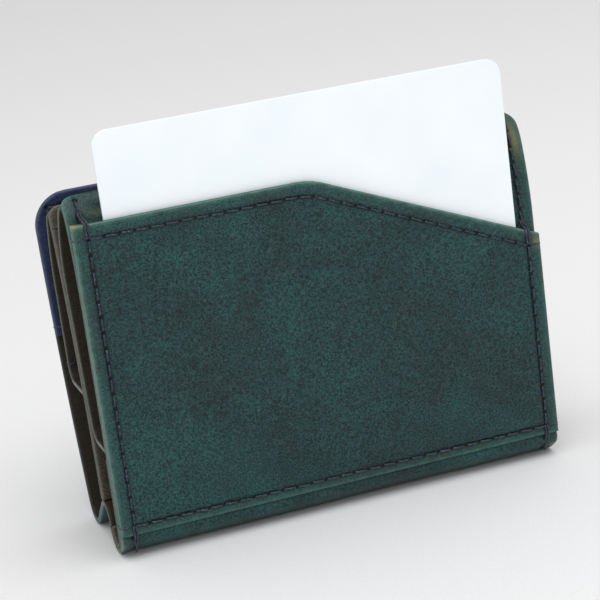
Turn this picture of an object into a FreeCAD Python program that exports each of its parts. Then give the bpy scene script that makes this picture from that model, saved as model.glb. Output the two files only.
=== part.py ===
# Leather card case: a flat back wall with an outer card pocket, a divider and a front cover,
# all standing on one W-shaped fold of leather, with a plastic card in the back pocket.
#
# Frame: X runs along the width, the outer back pocket faces -Y, the front cover faces +Y, +Z is
# up, and the origin is the middle of the footprint. Millimetres.
import FreeCAD, Part
import math
import os

doc = FreeCAD.newDocument("card_case")
Vec = FreeCAD.Vector

# ----------------------------------------------------------------------------------------------
# Driving dimensions. Depths are measured from the outer face of the back pocket.
# ----------------------------------------------------------------------------------------------
DIMENSIONS = [
    # name, value (mm or degrees), what it is
    ("case_width", 97.0, "length of every leather piece along X"),
    ("leather", 1.2, "outer strip: back wall, folds and front cover"),
    ("pocket_skin", 1.1, "wall of the outer back pocket"),
    ("pocket_depth", 1.2, "room for one card behind that wall"),
    ("pocket_border", 3.9, "sewn border at each side of the pocket"),
    ("pocket_base", 5.4, "height of the pocket's lower edge"),
    ("pocket_floor", 8.5, "height at which a card reaches the pocket's end"),
    ("pocket_top_left", 69.9, "height of the level left half of the pocket's top edge"),
    ("pocket_top_right", 49.3, "height of the low right end of that edge"),
    ("pocket_peak_x", 0.3, "where the level half meets the sloping half"),
    ("pocket_peak_round", 14.0, "rounding of that corner"),
    ("wall_straight", 51.0, "height up to which the back wall is flat"),
    ("wall_bend_radius", 70.0, "the wall leans back above it"),
    ("wall_bend_angle", 19.5, "lean of the wall at its top edge"),
    ("wall_corner", 4.0, "rounding of the wall's top corners"),
    ("rear_fold_radius", 4.6, "outside of the fold below the back wall"),
    ("rear_fold_rise", 0.5, "straight foot of that fold, where the back wall begins"),
    ("crest_rise", 0.2, "straight run between that fold and the crest"),
    ("crest_radius", 2.9, "outside of the upturned fold below the divider"),
    ("crest_y", 14.4, "depth of the upturned fold"),
    ("front_fold_radius", 4.8, "outside of the fold below the front cover"),
    ("front_fold_y", 26.4, "depth of that fold"),
    ("hinge_gap", 0.4, "slit between the rigid parts of one strip"),
    ("cover_lean", 16.0, "lean of the cover at its foot"),
    ("cover_radius", 292.0, "bow of the cover"),
    ("cover_arc", 13.0, "how much of its lean the cover loses up to its top edge"),
    ("cover_corner", 7.5, "rounding of the cover's top corners"),
    ("lining", 0.8, "smooth lining of the cover and of the back fold"),
    ("cover_lining_arc", 6.0, "part of the cover's bow that the lining takes up"),
    ("back_liner_top", 21.0, "height of the fold liner on the back wall"),
    ("leaf", 1.1, "each of the divider's two leaves"),
    ("divider_foot", 9.4, "height of the divider's lower edge"),
    ("divider_y", 14.2, "depth of the divider's rear face at its foot"),
    ("divider_radius", 241.0, "bow of the divider"),
    ("divider_arc", 14.6, "lean of the divider at its top edge"),
    ("sleeve_leather", 1.0, "thin leather of the two inner sleeves"),
    ("sleeve_bottom_radius", 4.0, "outside of the sleeves' rounded lower edge"),
    ("sleeve_set_back", 0.4, "how far a sleeve's sewn edge lies below the edge that it hangs from"),
    ("inner_fall", 34.0, "angle at which the back wall's sleeve leaves its top edge"),
    ("inner_sag", 2.0, "angle at which its face leans back further down"),
    ("inner_bulge", 6.4, "how far its face stands out"),
    ("inner_low", 22.0, "height of its lower edge"),
    ("middle_fall", 30.0, "angle at which the divider's sleeve leaves its top edge"),
    ("middle_bulge", 4.4, "how far its face stands out"),
    ("middle_low", 31.0, "height of its lower edge"),
    ("middle_clear", 0.1, "slit between its lower edge and the divider"),
    ("card_long", 85.6, "standard card"),
    ("card_short", 53.98, "standard card"),
    ("card_thick", 0.76, "standard card"),
    ("card_corner", 3.18, "standard card"),
    ("card_x", 1.0, "the card stands a little right of the middle"),
    ("card_top", 87.0, "height of the card's top edge as it stands half out"),
    ("thread", 0.5, "width of a sewn line"),
    ("thread_rise", 0.2, "a sewn line is sunk this deep in the pocket, and elsewhere stands this proud"),
    ("side_seam", 2.9, "side seams, in from the pocket's edge"),
    ("top_seam", 3.0, "top seam, below the pocket's edge"),
    ("base_seam", 2.0, "base seam, above the pocket's lower edge"),
    ("divider_seam", 4.5, "divider's seam, below its top edge"),
    ("sleeve_seam", 2.0, "seam of the divider's sleeve, above its rounded lower edge"),
    ("fold_seam", 3.2, "how far the side seams run down round the rear fold"),
    ("half_depth", 20.95, "middle of the footprint, from the pocket's outer face"),
]

sheet = doc.addObject("Spreadsheet::Sheet", "Dims")
for row, (name, value, note) in enumerate(DIMENSIONS, start=1):
    sheet.set("A%d" % row, name)
    sheet.set("B%d" % row, str(value))
    sheet.set("C%d" % row, note)
    sheet.setAlias("B%d" % row, name)
doc.recompute()


def dim(name):
    """Value of one driving dimension, read back from the sheet."""
    return float(sheet.get(name))


WIDTH = dim("case_width")
SKIN = dim("pocket_skin")
WALL_Y = SKIN + dim("pocket_depth")          # outer face of the back wall
LEATHER = dim("leather")
TOUCHING = 0.01
subparts = []


# ----------------------------------------------------------------------------------------------
# Shared ways of making a piece
# ----------------------------------------------------------------------------------------------
def new_body(label):
    """A body of its own for one piece, shifted so that the origin is under the middle."""
    body = doc.addObject("PartDesign::Body", label)
    body.Label = label
    body.setExpression("Placement.Base.y", "-Dims.half_depth")
    subparts.append(body)
    return body


def origin_plane(body, role):
    return next(f for f in body.Origin.OriginFeatures if f.Role == role)


def new_sketch(body, role, name, geometry):
    """Closed outline on one origin plane: neighbours in the list are joined end to start."""
    sketch = body.newObject("Sketcher::SketchObject", name)
    sketch.AttachmentSupport = [(origin_plane(body, role), "")]
    sketch.MapMode = "FlatFace"
    sketch.addGeometry(geometry, False)
    return sketch


def new_pad(body, sketch, length_expression, midplane=False, reverse=False):
    pad = body.newObject("PartDesign::Pad", sketch.Name + "_pad")
    pad.Profile = sketch
    pad.Midplane = midplane
    pad.Reversed = reverse
    pad.setExpression("Length", length_expression)
    body.Tip = pad
    doc.recompute()


def new_cut(body, sketch, length_expression, reverse=False):
    """Cut into the body, which has to lose some of its volume."""
    before = body.Shape.Volume
    cut = body.newObject("PartDesign::Pocket", sketch.Name + "_cut")
    cut.Profile = sketch
    cut.Reversed = reverse
    cut.setExpression("Length", length_expression)
    body.Tip = cut
    doc.recompute()
    assert body.Shape.Volume < before, "nothing was cut by " + cut.Name


class Path:
    """Run of straight lines and tangent arcs in the Y-Z plane, with a parallel at any distance.

    heading is in degrees from +Y towards +Z; a positive turn is to the left."""

    def __init__(self, y, z, heading):
        self.start = (y, z, heading)
        self.steps = []

    def line(self, length):
        self.steps.append(("line", length, 0.0))
        return self

    def arc(self, radius, turn):
        self.steps.append(("arc", radius, turn))
        return self

    def end(self):
        """Last point and heading."""
        y, z, heading = self.start
        for kind, size, turn in self.steps:
            y, z, heading = self._advance(y, z, heading, kind, size, turn)
        return y, z, heading

    @staticmethod
    def _advance(y, z, heading, kind, size, turn):
        a = math.radians(heading)
        if kind == "line":
            return y + size * math.cos(a), z + size * math.sin(a), heading
        side = math.copysign(1.0, turn)
        cy, cz = y - side * size * math.sin(a), z + side * size * math.cos(a)
        b = math.radians(heading + turn)
        return cy + side * size * math.sin(b), cz - side * size * math.cos(b), heading + turn

    def edges(self, shift):
        """Sketch geometry of the parallel that lies shift to the left of the path."""
        y, z, heading = self.start
        result = []
        for kind, size, turn in self.steps:
            a = math.radians(heading)
            p = Vec(y - shift * math.sin(a), z + shift * math.cos(a), 0)
            y1, z1, h1 = self._advance(y, z, heading, kind, size, turn)
            b = math.radians(h1)
            q = Vec(y1 - shift * math.sin(b), z1 + shift * math.cos(b), 0)
            if kind == "line":
                result.append(Part.LineSegment(p, q))
            else:
                side = math.copysign(1.0, turn)
                centre = Vec(y - side * size * math.sin(a), z + side * size * math.cos(a), 0)
                m = math.radians(heading + turn / 2)
                r = size - side * shift
                mid = centre + Vec(side * r * math.sin(m), -side * r * math.cos(m), 0)
                result.append(Part.Arc(p, mid, q))
            y, z, heading = y1, z1, h1
        return result

    def outline(self, near, far):
        """Closed outline of a sheet between two parallels."""
        one, two = self.edges(near), self.edges(far)
        caps = [
            Part.LineSegment(one[0].StartPoint, two[0].StartPoint),
            Part.LineSegment(one[-1].EndPoint, two[-1].EndPoint),
        ]
        return one + two + caps

    def piece(self, begin, finish):
        """The stretch of this path between two distances from its start."""
        y, z, heading = self.start
        result, run = None, 0.0
        for kind, size, turn in self.steps:
            length = size if kind == "line" else size * math.radians(abs(turn))
            low, high = max(begin - run, 0.0), min(finish - run, length)
            if high > low:
                if result is None:
                    skipped = self._scaled(kind, size, turn, low / length)
                    result = Path(*self._advance(y, z, heading, kind, *skipped))
                scaled = self._scaled(kind, size, turn, (high - low) / length)
                result.steps.append((kind, *scaled))
            y, z, heading = self._advance(y, z, heading, kind, size, turn)
            run += length
        return result

    def length(self):
        return sum(s if kind == "line" else s * math.radians(abs(t)) for kind, s, t in self.steps)

    @staticmethod
    def _scaled(kind, size, turn, share):
        """A line is shortened to a share of its length, an arc to a share of its turn."""
        return (size * share, 0.0) if kind == "line" else (size, turn * share)


def sheet_body(label, path, near, far, length="Dims.case_width"):
    """A sheet of leather that follows a path in the Y-Z plane and runs along X."""
    body = new_body(label)
    sketch = new_sketch(body, "YZ_Plane", label + "_profile", path.outline(near, far))
    new_pad(body, sketch, length, midplane=True)
    return body


def round_corners(body, radius_name, chosen):
    """Fillet the short edges for which chosen(edge) is true."""
    names = ["Edge%d" % (i + 1) for i, e in enumerate(body.Tip.Shape.Edges) if chosen(e)]
    base = body.Tip
    fillet = body.newObject("PartDesign::Fillet", body.Name + "_corners")
    fillet.Base = (base, names)
    fillet.setExpression("Radius", "Dims." + radius_name)
    body.Tip = fillet
    doc.recompute()


def top_corner(edge):
    """Edge through the thickness at a top corner of a sheet."""
    box = edge.BoundBox
    at_side = abs(abs(box.Center.x) - WIDTH / 2) < TOUCHING and box.XLength < TOUCHING
    return at_side and edge.Length < 2 * LEATHER and box.ZMax > dim("wall_straight")


def outline_xz(points):
    """Closed outline from corner points in X-Z; a third number rounds that corner."""
    count = len(points)
    joins = []
    for i, point in enumerate(points):
        here = Vec(point[0], point[1], 0)
        before, after = points[i - 1], points[(i + 1) % count]
        back = (Vec(before[0], before[1], 0) - here).normalize()
        on = (Vec(after[0], after[1], 0) - here).normalize()
        radius = point[2] if len(point) > 2 else 0
        if not radius:
            joins.append((here, None, here))
            continue
        half = back.getAngle(on) / 2
        cut = radius / math.tan(half)
        middle = (back + on).normalize()
        mid = here + middle * (radius / math.sin(half) - radius)
        joins.append((here + back * cut, mid, here + on * cut))
    geometry = []
    for i, (enter, mid, leave) in enumerate(joins):
        if mid is not None:
            geometry.append(Part.Arc(enter, mid, leave))
        geometry.append(Part.LineSegment(leave, joins[(i + 1) % count][0]))
    return geometry


# ----------------------------------------------------------------------------------------------
# Outer strip, lower part: two folds on the table with an upturned crest between them
# ----------------------------------------------------------------------------------------------
def fold_path():
    """Outer face of the W, from the foot of the back wall to the foot of the cover."""
    r_rear, r_front = dim("rear_fold_radius"), dim("front_fold_radius")
    r_crest = dim("crest_radius")
    rear_y = WALL_Y + r_rear
    rise = dim("rear_fold_rise")
    crest_z = r_rear + dim("crest_rise")
    span = math.hypot(dim("front_fold_y") - dim("crest_y"), r_front - crest_z)
    droop = math.degrees(math.asin((r_crest + r_front) / span))
    droop -= math.degrees(math.atan2(r_front - crest_z, dim("front_fold_y") - dim("crest_y")))
    slope = span * math.cos(math.radians(droop))
    path = Path(WALL_Y, r_rear + rise, -90.0)
    path.line(rise)
    path.arc(r_rear, 180.0)
    path.line(dim("crest_rise"))
    path.arc(r_crest, -(90.0 + droop))
    path.line(slope)
    path.arc(r_front, droop + 90.0 - dim("cover_lean"))
    assert abs(rear_y + r_rear + r_crest - dim("crest_y")) < TOUCHING, "crest sits beside the rear fold"
    return path


folds = fold_path()
sheet_body("spine_fold", folds, 0.0, LEATHER)

# Smooth liner inside the rear fold, up to the crest
liner_path = Path(*folds.start)
liner_path.line(dim("rear_fold_rise"))
liner_path.arc(dim("rear_fold_radius"), 180.0)
liner_path.line(dim("crest_rise"))
sheet_body("spine_liner", liner_path, LEATHER, LEATHER + dim("lining"))

# ----------------------------------------------------------------------------------------------
# Back wall with its outer card pocket
# ----------------------------------------------------------------------------------------------
GAP = dim("hinge_gap")
wall_foot = folds.start[1] + GAP
wall_path = Path(WALL_Y, wall_foot, 90.0)
wall_path.line(dim("wall_straight") - wall_foot)
wall_path.arc(dim("wall_bend_radius"), -dim("wall_bend_angle"))
back_wall = sheet_body("back_wall", wall_path, 0.0, -LEATHER)
round_corners(back_wall, "wall_corner", top_corner)

liner_wall_path = Path(WALL_Y + LEATHER, wall_foot, 90.0)
liner_wall_path.line(dim("back_liner_top") - wall_foot)
sheet_body("back_liner", liner_wall_path, 0.0, -dim("lining"))

HALF = WIDTH / 2
pocket = new_body("back_pocket")
pocket_corners = [
    (-HALF, dim("pocket_base")),
    (HALF, dim("pocket_base")),
    (HALF, dim("pocket_top_right")),
    (dim("pocket_peak_x"), dim("pocket_top_left"), dim("pocket_peak_round")),
    (-HALF, dim("pocket_top_left")),
]
pocket_sketch = new_sketch(pocket, "XZ_Plane", "pocket_outline", outline_xz(pocket_corners))
new_pad(pocket, pocket_sketch, "Dims.pocket_skin + Dims.pocket_depth", reverse=True)

# Room for the card, cut from the side that faces the back wall and open at the top
inner = HALF - dim("pocket_border")
floor, above = dim("pocket_floor"), dim("pocket_top_left") + dim("pocket_base")
room_corners = [(-inner, floor), (inner, floor), (inner, above), (-inner, above)]
room = new_sketch(pocket, "XZ_Plane", "card_room", outline_xz(room_corners))
room.setExpression("AttachmentOffset.Base.z", "-(Dims.pocket_skin + Dims.pocket_depth)")
new_cut(pocket, room, "Dims.pocket_depth", reverse=True)

# Inner sleeve: a soft loop from the wall's top edge down to a rounded lower edge
wall_top = wall_path.end()
lean = math.radians(dim("wall_bend_angle"))
SLEEVE = dim("sleeve_leather")


def sleeve_path(top_y, top_z, fall, sag, bulge, low, wall_at_low):
    """Face of a loop: out from a top edge, straight down, and back to its wall."""
    turn = math.radians(fall)
    radius = bulge / (1.0 - math.cos(turn))
    corner = dim("sleeve_bottom_radius")
    path = Path(top_y, top_z, -90.0 + fall)
    path.arc(radius, -fall - sag)
    z = path.end()[1]
    down = (z - low - corner) / math.cos(math.radians(sag))
    path.line(down)
    path.arc(corner, -90.0 + sag)
    path.line(path.end()[0] - wall_at_low)
    return path


sleeve_top_y = wall_top[0] + LEATHER * math.cos(lean) + SLEEVE
sleeve_top_z = wall_top[1] - LEATHER * math.sin(lean) - dim("sleeve_set_back")
inner_sleeve_path = sleeve_path(
    sleeve_top_y, sleeve_top_z, fall=dim("inner_fall"), sag=dim("inner_sag"), bulge=dim("inner_bulge"),
    low=dim("inner_low"), wall_at_low=WALL_Y + LEATHER
)
sheet_body("inner_sleeve", inner_sleeve_path, 0.0, -SLEEVE)

# ----------------------------------------------------------------------------------------------
# Divider of two leaves with a sleeve on its front, standing on the crest
# ----------------------------------------------------------------------------------------------
LEAF = dim("leaf")
divider_path = Path(dim("divider_y"), dim("divider_foot"), 90.0)
divider_path.arc(dim("divider_radius"), -dim("divider_arc"))
rear_leaf = sheet_body("middle_wall", divider_path, 0.0, -LEAF)
round_corners(rear_leaf, "wall_corner", top_corner)
front_leaf = sheet_body("middle_facing", divider_path, -LEAF, -2 * LEAF)
round_corners(front_leaf, "wall_corner", top_corner)

divider_top = divider_path.end()
tip = math.radians(dim("divider_arc"))
front_sleeve_top_y = divider_top[0] + 2 * LEAF * math.cos(tip) + SLEEVE
front_sleeve_top_z = divider_top[1] - 2 * LEAF * math.sin(tip) - dim("sleeve_set_back")
low_edge = dim("middle_low")
rise = low_edge + SLEEVE / 2 - dim("divider_foot")
radius = dim("divider_radius")
bow = radius - math.sqrt(radius ** 2 - rise ** 2)
middle_sleeve_path = sleeve_path(
    front_sleeve_top_y, front_sleeve_top_z, fall=dim("middle_fall"), sag=0.0, bulge=dim("middle_bulge"),
    low=low_edge, wall_at_low=dim("divider_y") + bow + 2 * LEAF + dim("middle_clear")
)
sheet_body("middle_sleeve", middle_sleeve_path, 0.0, -SLEEVE)

# ----------------------------------------------------------------------------------------------
# Front cover with its lining
# ----------------------------------------------------------------------------------------------
foot_y, foot_z, foot_heading = folds.end()
start = Path(foot_y, foot_z, foot_heading).line(GAP).end()
cover_path = Path(*start).arc(dim("cover_radius"), dim("cover_arc"))
cover = sheet_body("front_cover", cover_path, 0.0, LEATHER)
round_corners(cover, "cover_corner", top_corner)

lining_arc = dim("cover_lining_arc")
lining_start = Path(*start).arc(dim("cover_radius"), dim("cover_arc") - lining_arc).end()
lining_path = Path(*lining_start).arc(dim("cover_radius"), lining_arc)
lining = sheet_body("cover_lining", lining_path, LEATHER, LEATHER + dim("lining"))
round_corners(lining, "cover_corner", top_corner)

# ----------------------------------------------------------------------------------------------
# Plain plastic card
# ----------------------------------------------------------------------------------------------
card = new_body("card")
half_card = dim("card_long") / 2
card_base = dim("card_top") - dim("card_short")
corner = dim("card_corner")
card_corners = [
    (dim("card_x") + x * half_card, z, corner)
    for x, z in ((-1, card_base), (1, card_base), (1, dim("card_top")), (-1, dim("card_top")))
]
card_sketch = new_sketch(card, "XZ_Plane", "card_outline", outline_xz(card_corners))
card_sketch.setExpression(
    "AttachmentOffset.Base.z", "-(Dims.pocket_skin + (Dims.pocket_depth - Dims.card_thick) / 2)"
)
new_pad(card, card_sketch, "Dims.card_thick", reverse=True)

# ----------------------------------------------------------------------------------------------
# Sewn lines: one narrow line for each seam
# ----------------------------------------------------------------------------------------------
THREAD = dim("thread")
RISE = dim("thread_rise")


def seam_on_plane(label, corners):
    """Sewn line with its centre along corner points in X-Z, drawn flush into the pocket's face."""
    upper, lower = [], []
    for i, (x, z) in enumerate(corners):
        before = corners[max(i - 1, 0)]
        after = corners[min(i + 1, len(corners) - 1)]
        along = Vec(after[0] - before[0], after[1] - before[1], 0).normalize()
        upper.append((x - along.y * THREAD / 2, z + along.x * THREAD / 2))
        lower.append((x + along.y * THREAD / 2, z - along.x * THREAD / 2))
    outline = outline_xz(upper + lower[::-1])
    groove = new_sketch(pocket, "XZ_Plane", label + "_groove", outline)
    new_cut(pocket, groove, "Dims.thread_rise")
    body = new_body(label)
    line = new_sketch(body, "XZ_Plane", label + "_line", outline)
    new_pad(body, line, "Dims.thread_rise", reverse=True)


def seam_across(label, path, face, side, begin):
    """Sewn line along X on a bowed sheet, begin mm along its path; side is where it stands proud."""
    strip = path.piece(begin, begin + THREAD)
    sheet_body(label, strip, face, face + side * RISE, "Dims.case_width - 2 * Dims.side_seam")


def seam_along(label, path, face, side, begin, finish, x_sign):
    """Sewn line that follows a bowed sheet near its left (-1) or right (+1) edge."""
    strip = path.piece(begin, finish)
    body = sheet_body(label, strip, face, face + side * RISE, "Dims.thread")
    shift = "%d * (Dims.case_width / 2 - Dims.side_seam)" % x_sign
    body.Group[0].setExpression("AttachmentOffset.Base.z", shift)
    doc.recompute()
    return body


seam_x = HALF - dim("side_seam")
seam_reach = seam_x - 2 * THREAD
base_z = dim("pocket_base") + dim("base_seam")
drop = dim("top_seam")
fall = dim("pocket_top_left") - dim("pocket_top_right")
slope_angle = math.atan2(fall, HALF - dim("pocket_peak_x"))
level_z = dim("pocket_top_left") - drop
peak_x = dim("pocket_peak_x") - drop * math.tan(slope_angle / 2)
right_z = level_z - (seam_reach - peak_x) * math.tan(slope_angle)
side_foot = dim("pocket_base") + THREAD
left_head = dim("pocket_top_left") - THREAD
right_head = right_z + drop / 2

seam_on_plane("pocket_top_thread", [(-seam_reach, level_z), (peak_x, level_z), (seam_reach, right_z)])
seam_on_plane("pocket_base_thread", [(-seam_reach, base_z), (seam_reach, base_z)])
seam_on_plane("left_side_thread", [(-seam_x, side_foot), (-seam_x, left_head)])
seam_on_plane("right_side_thread", [(seam_x, side_foot), (seam_x, right_head)])

# The side seams run on up the back wall above the pocket, and down round the rear fold
wall_length = wall_path.length()
edge_at_right_seam = dim("pocket_top_right") + (dim("side_seam") + THREAD) * math.tan(slope_angle)
edge_at_left_seam = dim("pocket_top_left")
for side_name, x_sign, pocket_edge in (("left", -1, edge_at_left_seam), ("right", 1, edge_at_right_seam)):
    seam_along(side_name + "_wall_thread", wall_path, 0.0, 1, pocket_edge - wall_foot + THREAD,
               wall_length - THREAD, x_sign)
    seam_along(side_name + "_fold_thread", folds, 0.0, -1, THREAD, dim("fold_seam"), x_sign)

divider_length = divider_path.length()
seam_across("divider_top_thread", divider_path, 0.0, 1, divider_length - dim("divider_seam"))
sleeve_seam = middle_sleeve_path.steps[0][1] * math.radians(abs(middle_sleeve_path.steps[0][2]))
sleeve_seam += middle_sleeve_path.steps[1][1] - dim("sleeve_seam")
seam_across("middle_sleeve_thread", middle_sleeve_path, 0.0, 1, sleeve_seam)

cover_length = cover_path.length()
lining_length = lining_path.length()
lining_foot = cover_length - lining_length
seam_across("cover_top_thread", cover_path, 0.0, -1, cover_length - dim("top_seam"))
seam_across("cover_lining_thread", cover_path, 0.0, -1, lining_foot + dim("base_seam"))
for side_name, x_sign in (("left", -1), ("right", 1)):
    seam_along(side_name + "_cover_thread", cover_path, 0.0, -1, lining_foot + dim("base_seam") + THREAD,
               cover_length - dim("top_seam"), x_sign)

# ----------------------------------------------------------------------------------------------
# Every piece is checked, then written
# ----------------------------------------------------------------------------------------------
doc.recompute()
for item in doc.Objects:
    assert not {"Invalid", "Error"} & set(item.State), "failed object: " + item.Label
os.makedirs("parts", exist_ok=True)
for subpart in subparts:
    shape = subpart.Shape
    assert not shape.isNull() and shape.isValid() and shape.Solids, "bad shape: " + subpart.Label
    shape.exportStep("parts/%s.step" % subpart.Label)
    box = shape.BoundBox
    print("%-22s %8.1f mm3  Y %6.2f..%6.2f  Z %6.2f..%6.2f"
          % (subpart.Label, shape.Volume, box.YMin, box.YMax, box.ZMin, box.ZMax))
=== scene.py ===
import math

import bpy
import numpy as np
from mathutils import Matrix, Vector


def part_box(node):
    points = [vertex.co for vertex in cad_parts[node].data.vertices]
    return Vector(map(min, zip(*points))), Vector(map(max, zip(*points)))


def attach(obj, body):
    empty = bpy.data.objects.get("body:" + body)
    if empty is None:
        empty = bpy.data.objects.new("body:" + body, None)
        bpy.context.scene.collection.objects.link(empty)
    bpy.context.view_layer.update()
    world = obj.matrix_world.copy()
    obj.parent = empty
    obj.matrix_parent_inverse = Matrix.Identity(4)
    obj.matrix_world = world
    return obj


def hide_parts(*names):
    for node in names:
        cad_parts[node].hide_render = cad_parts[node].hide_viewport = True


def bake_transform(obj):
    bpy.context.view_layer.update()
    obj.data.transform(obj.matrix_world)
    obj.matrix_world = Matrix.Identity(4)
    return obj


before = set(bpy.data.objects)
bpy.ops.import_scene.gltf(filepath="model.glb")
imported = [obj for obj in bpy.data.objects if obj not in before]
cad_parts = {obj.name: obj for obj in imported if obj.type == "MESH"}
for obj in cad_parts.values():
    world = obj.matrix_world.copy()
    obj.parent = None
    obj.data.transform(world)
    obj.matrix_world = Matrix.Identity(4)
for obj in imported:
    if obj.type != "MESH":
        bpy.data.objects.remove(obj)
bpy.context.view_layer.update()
MM = 0.001  # all sizes below are millimetres

# ============================================================
# OUTER STRIP, REAR STRETCH
# One long strip of vegetable-tanned leather makes the back wall, the W-shaped foot and the cover.
# This stretch runs from the wall's top edge down round the rear fold and up to the crest of the W,
# dyed teal green on the grain side and left brown on the flesh side, with burnished edges.


def corners_of(node):
    """Lowest and highest corner of a CAD node, in millimetres."""
    low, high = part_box(node)
    return np.array(low) / MM, np.array(high) / MM


def run(length):
    """Straight step of a track."""
    return length, 0.0


def bend(radius, turn):
    """Round step of a track; a positive turn, in degrees, is to the left."""
    return radius * abs(math.radians(turn)), turn


def track(y, z, heading, steps):
    """Line in the Y-Z plane made of straight and round steps, as a function of the distance along it.

    The heading, in degrees from +Y towards +Z, grows evenly along each step, at a rate k per
    millimetre. The point is its integral: y + (sin b - sin a) / k and z - (cos b - cos a) / k,
    where a is the step's first heading and b the heading at the distance asked for."""
    lengths = np.array([step[0] for step in steps])
    turns = np.radians([step[1] for step in steps])
    turns = np.where(turns == 0, 1e-7, turns)
    rate = turns / lengths
    knots = np.concatenate([[0], np.cumsum(lengths)])
    headings = math.radians(heading) + np.concatenate([[0], np.cumsum(turns)])
    first_y = y + np.concatenate([[0], np.cumsum(np.diff(np.sin(headings)) / rate)])
    first_z = z - np.concatenate([[0], np.cumsum(np.diff(np.cos(headings)) / rate)])

    def at(distance, depth):
        """Point at a distance along the track, and at a depth to the left of it."""
        i = np.clip(np.searchsorted(knots, distance, side="right") - 1, 0, len(steps) - 1)
        a = headings[i]
        b = a + rate[i] * (distance - knots[i])
        return (
            first_y[i] + (np.sin(b) - np.sin(a)) / rate[i] - depth * np.sin(b),
            first_z[i] - (np.cos(b) - np.cos(a)) / rate[i] + depth * np.cos(b),
        )

    at.length = knots[-1]
    return at


RIM = 0.5  # width of the rounded rim of a cut edge
RIM_POWER = 2.6  # 2 is a half round edge, more is squarer
RIM_SHARES = np.array([0.0, 0.3, 0.55, 0.75, 0.88, 0.96, 1.0])
SQUARE = 0.04  # rim of an end that is cut nearly square, as a share of RIM
FINE_GRID = 0.25  # between grid lines next to a cut edge
UNSEWN = (0.5, 9.0)  # mark for leather far from any needle hole: half a stitch along, 9 mm away


def rim_share(gap):
    """Share of the half thickness reached at a distance from the cut edge: a super-ellipse."""
    inward = 1 - np.clip(gap / RIM, 0, 1)
    return (1 - inward ** RIM_POWER) ** (1 / RIM_POWER)


def edge_lines(scale=1.0, dense=6.0):
    """Distances of grid lines from a cut edge: through its rim, then evenly to the dense border's end."""
    rim_lines = RIM * scale * (1 - (1 - RIM_SHARES ** RIM_POWER) ** (1 / RIM_POWER))
    steps = round((dense - RIM * scale) / FINE_GRID)
    return np.concatenate([rim_lines, np.linspace(RIM * scale, dense, steps + 1)[1:]])


def spread(low, high, near, far, coarse):
    """Grid lines from low to high: near lines after low, far lines before high, even between them.

    low and high are numbers or arrays; the lines run along the first axis."""
    low, high = np.atleast_1d(low)[None, :], np.atleast_1d(high)[None, :]
    between = max(2, round(float(np.max(high - low) - near[-1] - far[-1]) / coarse))
    share = np.linspace(0, 1, between + 1)[1:-1, None]
    middle = (low + near[-1]) * (1 - share) + (high - far[-1]) * share
    return np.concatenate([low + near[:, None], middle, high - far[::-1, None]])


def add_mesh(name, points, quads, triangles=None, **attributes):
    """Mesh object from arrays in millimetres, with its faces turned outwards.

    The faces enclose the sum of a . (b x c) / 6 over their triangles; if that is negative, every
    face is reversed."""
    a, b, c, d = (points[quads[:, i]] for i in range(4))
    volume = np.sum(a * np.cross(b, c)) + np.sum(a * np.cross(c, d))
    if triangles is not None:
        e, f, g = (points[triangles[:, i]] for i in range(3))
        volume += np.sum(e * np.cross(f, g))
    order = slice(None, None, -1 if volume < 0 else 1)
    faces = quads[:, order].tolist()
    if triangles is not None:
        faces += triangles[:, order].tolist()
    mesh = bpy.data.meshes.new(name)
    mesh.from_pydata((points * MM).tolist(), [], faces)
    for key, values in attributes.items():
        kind, field = ("FLOAT_VECTOR", "vector") if values.ndim == 2 else ("FLOAT", "value")
        layer = mesh.attributes.new(key, kind, "POINT")
        layer.data.foreach_set(field, values.astype(np.float32).ravel())
    mesh.shade_smooth()
    piece = bpy.data.objects.new(name, mesh)
    bpy.context.scene.collection.objects.link(piece)
    return piece


def leather_sheet(name, x, s, gap, thickness, at, inward=1, relief=0.0, sewn=UNSEWN, wear_and_highlight=0.0):
    """Closed sheet of leather whose grain face lies on a track.

    x and s are grids: place across, and distance along the track. At each grid point the sheet
    reaches from the grain face down to its thickness; near a cut edge both faces close in on the
    middle of the thickness by the rim's super-ellipse. relief lifts the grain face, sewn holds the
    place along the nearest seam, in stitches, and the distance to it, and the last argument marks
    pale spots: rubbed leather, and painted highlights.
    inward is +1 where the flesh side lies to the left of the track, else -1.

    The material reads these attributes: hide is the place on the hide (x, s, depth), through the
    depth as a share of the thickness, border the gap, and along, across and bare are as given."""
    share = rim_share(gap)
    thickness, relief, along, across, wear_and_highlight = (
        np.broadcast_to(v, x.shape) for v in (thickness, relief, *sewn, wear_and_highlight)
    )
    through = {"grain": 0.5 - 0.5 * share, "flesh": 0.5 + 0.5 * share}
    rows, columns = x.shape
    inner = np.zeros((rows, columns), bool)
    inner[1:-1, 1:-1] = True
    grain = np.arange(rows * columns).reshape(rows, columns)
    flesh = grain.copy()
    flesh[inner] = rows * columns + np.arange(inner.sum())
    points, hide = {}, {}
    for side, lift in (("grain", relief), ("flesh", 0.0)):
        depth = thickness * through[side] - lift * share
        y, z = at(s, inward * depth)
        points[side] = np.stack([x, y, z], -1)
        hide[side] = np.stack([x, s, depth], -1)

    def both(values):
        """Every grain point, then the flesh points that aren't on the rim."""
        shape = (-1, 3) if values["grain"].ndim == 3 else (-1,)
        return np.concatenate([values["grain"].reshape(shape), values["flesh"][inner]])

    def quads(index):
        """Four corners of every cell of a grid."""
        around = [index[:-1, :-1], index[:-1, 1:], index[1:, 1:], index[1:, :-1]]
        return np.stack(around, -1).reshape(-1, 4)

    faces = np.concatenate([quads(grain), quads(flesh)[:, ::-1]])
    marks = {key: both({"grain": values, "flesh": values})
             for key, values in (("along", along), ("across", across), ("wear_and_highlight", wear_and_highlight), ("border", gap))}
    return add_mesh(name, both(points), faces, hide=both(hide), through=both(through), **marks)


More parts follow.
